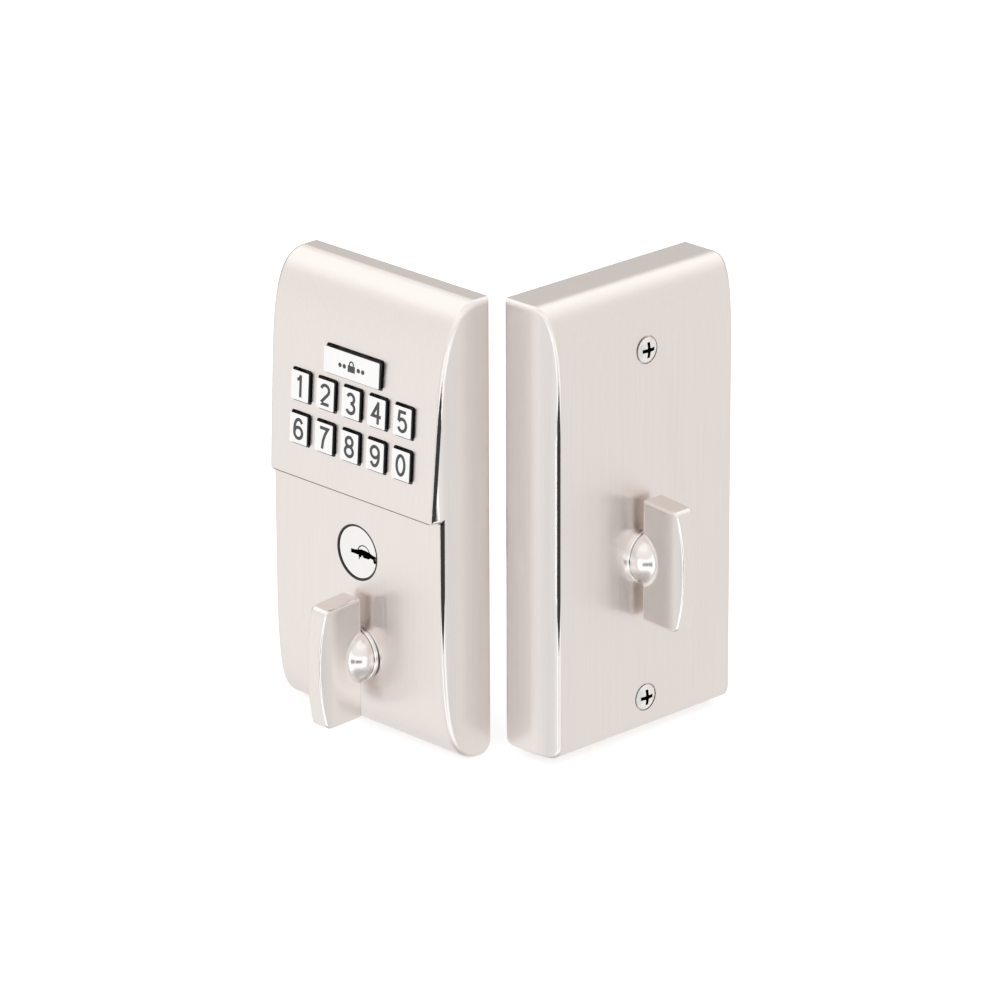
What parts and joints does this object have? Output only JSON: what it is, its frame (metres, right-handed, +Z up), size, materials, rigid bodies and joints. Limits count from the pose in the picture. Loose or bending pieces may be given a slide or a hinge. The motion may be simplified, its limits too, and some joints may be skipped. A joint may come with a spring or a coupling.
{
  "type": "keypad deadbolt lock",
  "caption": "Keypad door lock shown as two halves at a right angle: exterior housing with push keys, key cylinder and thumbturn, and interior cover with thumbturn and battery inside.",
  "frame": {"origin": "on the bolt axis, in the back plane of the exterior half, midway between its two through-bolt posts", "axes": "+Z up, +Y into the door behind the exterior half, whose front looks along -Y; the interior half stands at a right angle beside it and its front looks along +X"},
  "size_m": [0.1204, 0.1186, 0.146],
  "materials": {
    "satin_nickel": "satin nickel, fine vertical brushing",
    "polished_nickel": "bright polished",
    "key_cap": "bright plated face over a black moulding",
    "plated_steel": "zinc plated",
    "spring_steel": "bright spring wire and strip",
    "brass": "machined",
    "sintered_steel": "sintered, oiled",
    "silicone": "matt moulded",
    "circuit_board": "solder mask",
    "black_plastic": "moulded",
    "coil_winding": "taped copper winding",
    "battery_case": "plain printed sleeve with no lettering"
  },
  "bodies": {
    "lock_body": {"exterior_housing": "satin_nickel", "interior_cover": "satin_nickel", "exterior_turn_collar": "polished_nickel", "interior_turn_collar": "polished_nickel", "cover_screws": "polished_nickel", "exterior_back_plate": "plated_steel", "interior_back_plate": "plated_steel", "back_plate_screws": "plated_steel", "mounting_posts": "plated_steel", "keypad_clamp": "plated_steel", "keypad_screws": "plated_steel", "cylinder_screws": "plated_steel", "solenoid_frame": "plated_steel", "cover_posts": "plated_steel", "control_screws": "plated_steel", "pin_springs": "spring_steel", "plunger_spring": "spring_steel", "detent_spring": "spring_steel", "cylinder_shell": "brass", "driver_pins": "brass", "hub_bushing": "brass", "exterior_gasket": "silicone", "keypad_membrane": "silicone", "keypad_board": "circuit_board", "control_board": "circuit_board", "cylinder_trim": "black_plastic", "keypad_chip": "black_plastic", "keypad_connector": "black_plastic", "control_chips": "black_plastic", "control_connector": "black_plastic", "battery_tray": "black_plastic", "battery_snap": "black_plastic", "solenoid_coil": "coil_winding", "battery": "battery_case"},
    "key_plug": {"cylinder_plug": "polished_nickel", "key_pins": "brass", "cylinder_clip": "spring_steel", "hub_gear": "sintered_steel", "tailpiece": "plated_steel"},
    "transfer": {"transfer_gear": "sintered_steel"},
    "exterior_turn": {"exterior_thumbturn": "satin_nickel", "exterior_turn_shaft": "plated_steel", "exterior_turn_ring": "spring_steel", "clutch_drum": "sintered_steel"},
    "plunger": {"solenoid_plunger": "plated_steel"},
    "interior_turn": {"interior_thumbturn": "satin_nickel", "interior_turn_shaft": "plated_steel", "interior_hub": "sintered_steel", "interior_turn_ring": "spring_steel"},
    "enter_button": {"enter_key": "key_cap"},
    "button_1": {"key_1": "key_cap"},
    "button_2": {"key_2": "key_cap"},
    "button_3": {"key_3": "key_cap"},
    "button_4": {"key_4": "key_cap"},
    "button_5": {"key_5": "key_cap"},
    "button_6": {"key_6": "key_cap"},
    "button_7": {"key_7": "key_cap"},
    "button_8": {"key_8": "key_cap"},
    "button_9": {"key_9": "key_cap"},
    "button_0": {"key_0": "key_cap"}
  },
  "joints": [
    {"name": "press_1", "type": "slide", "parent": "lock_body", "child": "button_1", "axis": [0, 0.9981, -0.061], "range_m": [0, 0.0012], "stiffness_N_per_m": 900, "springref_m": -0.0004},
    {"name": "press_2", "type": "slide", "parent": "lock_body", "child": "button_2", "axis": [0, 0.9981, -0.061], "range_m": [0, 0.0012], "stiffness_N_per_m": 900, "springref_m": -0.0004},
    {"name": "press_3", "type": "slide", "parent": "lock_body", "child": "button_3", "axis": [0, 0.9981, -0.061], "range_m": [0, 0.0012], "stiffness_N_per_m": 900, "springref_m": -0.0004},
    {"name": "press_4", "type": "slide", "parent": "lock_body", "child": "button_4", "axis": [0, 0.9981, -0.061], "range_m": [0, 0.0012], "stiffness_N_per_m": 900, "springref_m": -0.0004},
    {"name": "press_5", "type": "slide", "parent": "lock_body", "child": "button_5", "axis": [0, 0.9981, -0.061], "range_m": [0, 0.0012], "stiffness_N_per_m": 900, "springref_m": -0.0004},
    {"name": "press_6", "type": "slide", "parent": "lock_body", "child": "button_6", "axis": [0, 0.9981, -0.061], "range_m": [0, 0.0012], "stiffness_N_per_m": 900, "springref_m": -0.0004},
    {"name": "press_7", "type": "slide", "parent": "lock_body", "child": "button_7", "axis": [0, 0.9981, -0.061], "range_m": [0, 0.0012], "stiffness_N_per_m": 900, "springref_m": -0.0004},
    {"name": "press_8", "type": "slide", "parent": "lock_body", "child": "button_8", "axis": [0, 0.9981, -0.061], "range_m": [0, 0.0012], "stiffness_N_per_m": 900, "springref_m": -0.0004},
    {"name": "press_9", "type": "slide", "parent": "lock_body", "child": "button_9", "axis": [0, 0.9981, -0.061], "range_m": [0, 0.0012], "stiffness_N_per_m": 900, "springref_m": -0.0004},
    {"name": "press_0", "type": "slide", "parent": "lock_body", "child": "button_0", "axis": [0, 0.9981, -0.061], "range_m": [0, 0.0012], "stiffness_N_per_m": 900, "springref_m": -0.0004},
    {"name": "press_enter", "type": "slide", "parent": "lock_body", "child": "enter_button", "axis": [0, 0.9981, -0.061], "range_m": [0, 0.0012], "stiffness_N_per_m": 1200, "springref_m": -0.0004},
    {"name": "key_plug_turn", "type": "hinge", "parent": "lock_body", "child": "key_plug", "pos_m": [0, 0, 0], "axis": [0, -1, 0], "range_deg": [-90, 90]},
    {"name": "transfer_gear_turn", "type": "hinge", "parent": "lock_body", "child": "transfer", "pos_m": [0, 0, -0.0325], "axis": [0, -1, 0], "range_deg": [-90, 90]},
    {"name": "exterior_turn_spin", "type": "hinge", "parent": "lock_body", "child": "exterior_turn", "pos_m": [0, 0, -0.0325], "axis": [0, -1, 0], "continuous": true},
    {"name": "clutch_plunger", "type": "slide", "parent": "lock_body", "child": "plunger", "axis": [-1, 0, 0], "range_m": [0, 0.002], "stiffness_N_per_m": 150, "springref_m": -0.001, "deforming": ["plunger_spring"]},
    {"name": "interior_turn_spin", "type": "hinge", "parent": "lock_body", "child": "interior_turn", "pos_m": [0.0414, 0.0416, 0], "axis": [1, 0, 0], "range_deg": [-90, 90]}
  ],
  "couplings": [
    {"joint": "transfer_gear_turn", "follows": "key_plug_turn", "ratio": -1}
  ]
}
